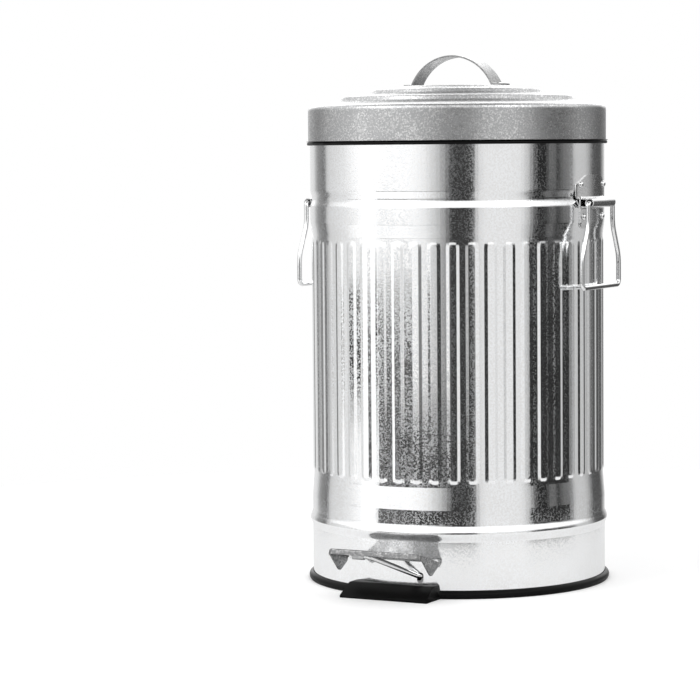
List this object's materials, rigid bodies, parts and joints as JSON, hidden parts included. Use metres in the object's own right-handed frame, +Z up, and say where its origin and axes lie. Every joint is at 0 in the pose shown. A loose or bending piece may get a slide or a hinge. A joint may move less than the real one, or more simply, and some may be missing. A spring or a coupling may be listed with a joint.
{
  "type": "trash can",
  "caption": "Round fluted steel trash can with a stepped hinged lid, strap handle, wire side handles, foot pedal linkage and lift-out bucket.",
  "frame": {"origin": "on the floor on the can's axis", "axes": "+Z up, pedal at -Y, lid hinge at +Y, side handles at +X and -X"},
  "size_m": [0.3158, 0.3532, 0.5199],
  "materials": {
    "galvanised_sheet": "bright galvanised, fine spangle, reflective",
    "lid_sheet": "galvanised, satin spangle",
    "pressed_steel": "bright plated sheet",
    "plated_wire": "bright plated wire",
    "rivet_steel": "bright",
    "linkage_steel": "zinc plated",
    "black_plastic": "matte moulded",
    "black_rubber": "matte",
    "bucket_plastic": "matte moulded"
  },
  "bodies": {
    "can": {"body_shell": "galvanised_sheet", "base_ring": "black_plastic", "floor_plate": "galvanised_sheet", "top_collar": "black_plastic", "handle_bracket_right": "pressed_steel", "handle_bracket_left": "pressed_steel", "hinge_bracket": "pressed_steel", "hinge_pin": "rivet_steel", "rod_guide": "linkage_steel", "lever_bracket": "linkage_steel", "handle_rivet_right_1": "rivet_steel", "handle_rivet_right_2": "rivet_steel", "handle_rivet_right_3": "rivet_steel", "handle_rivet_right_4": "rivet_steel", "handle_rivet_left_1": "rivet_steel", "handle_rivet_left_2": "rivet_steel", "handle_rivet_left_3": "rivet_steel", "handle_rivet_left_4": "rivet_steel", "hinge_rivet_1": "rivet_steel", "hinge_rivet_2": "rivet_steel", "hinge_rivet_3": "rivet_steel", "hinge_rivet_4": "rivet_steel", "hinge_rivet_5": "rivet_steel", "hinge_rivet_6": "rivet_steel", "lever_rivet_1": "rivet_steel", "lever_rivet_2": "rivet_steel"},
    "lid": {"lid_shell": "lid_sheet", "lid_gasket": "black_rubber", "lid_handle": "pressed_steel", "lid_hinge_arm": "pressed_steel", "lift_finger": "linkage_steel", "strap_rivet_1": "rivet_steel", "strap_rivet_2": "rivet_steel", "lid_hinge_rivet_1": "rivet_steel", "lid_hinge_rivet_2": "rivet_steel"},
    "right_bail": {"bail_right": "plated_wire"},
    "left_bail": {"bail_left": "plated_wire"},
    "pedal": {"pedal_plate": "pressed_steel", "pedal_clip": "linkage_steel", "pedal_lever": "plated_wire", "lever_tip": "black_plastic"},
    "lift_rod": {"lift_bar": "linkage_steel", "push_rod": "linkage_steel", "push_rod_tip": "black_plastic"},
    "bucket": {"inner_bucket": "bucket_plastic"},
    "bucket_bail": {"bucket_handle": "plated_wire"}
  },
  "joints": [
    {"name": "lid_hinge", "type": "hinge", "parent": "can", "child": "lid", "pos_m": [0, 0.156, 0.445], "axis": [-1, 0, 0], "range_deg": [0, 75]},
    {"name": "pedal_pivot", "type": "hinge", "parent": "can", "child": "pedal", "pos_m": [0.013, -0.132, 0.021], "axis": [1, 0, 0], "range_deg": [0, 17.97]},
    {"name": "rod_slide", "type": "slide", "parent": "can", "child": "lift_rod", "axis": [0, 0, 1], "range_m": [0, 0.02436]},
    {"name": "right_bail_swing", "type": "hinge", "parent": "can", "child": "right_bail", "pos_m": [0.1534, 0, 0.3746], "axis": [0, -1, 0], "range_deg": [0, 95]},
    {"name": "left_bail_swing", "type": "hinge", "parent": "can", "child": "left_bail", "pos_m": [-0.1534, 0, 0.3746], "axis": [0, 1, 0], "range_deg": [0, 95]},
    {"name": "bucket_lift", "type": "slide", "parent": "can", "child": "bucket", "axis": [0, 0, 1], "range_m": [0, 0.015]},
    {"name": "bucket_bail_swing", "type": "hinge", "parent": "bucket", "child": "bucket_bail", "pos_m": [0, 0, 0.4195], "axis": [-1, 0, 0], "range_deg": [0, 12]}
  ],
  "couplings": [
    {"joint": "pedal_pivot", "follows": "lid_hinge", "ratio": 0.23947},
    {"joint": "rod_slide", "follows": "lid_hinge", "m_per_rad": 0.018602}
  ]
}
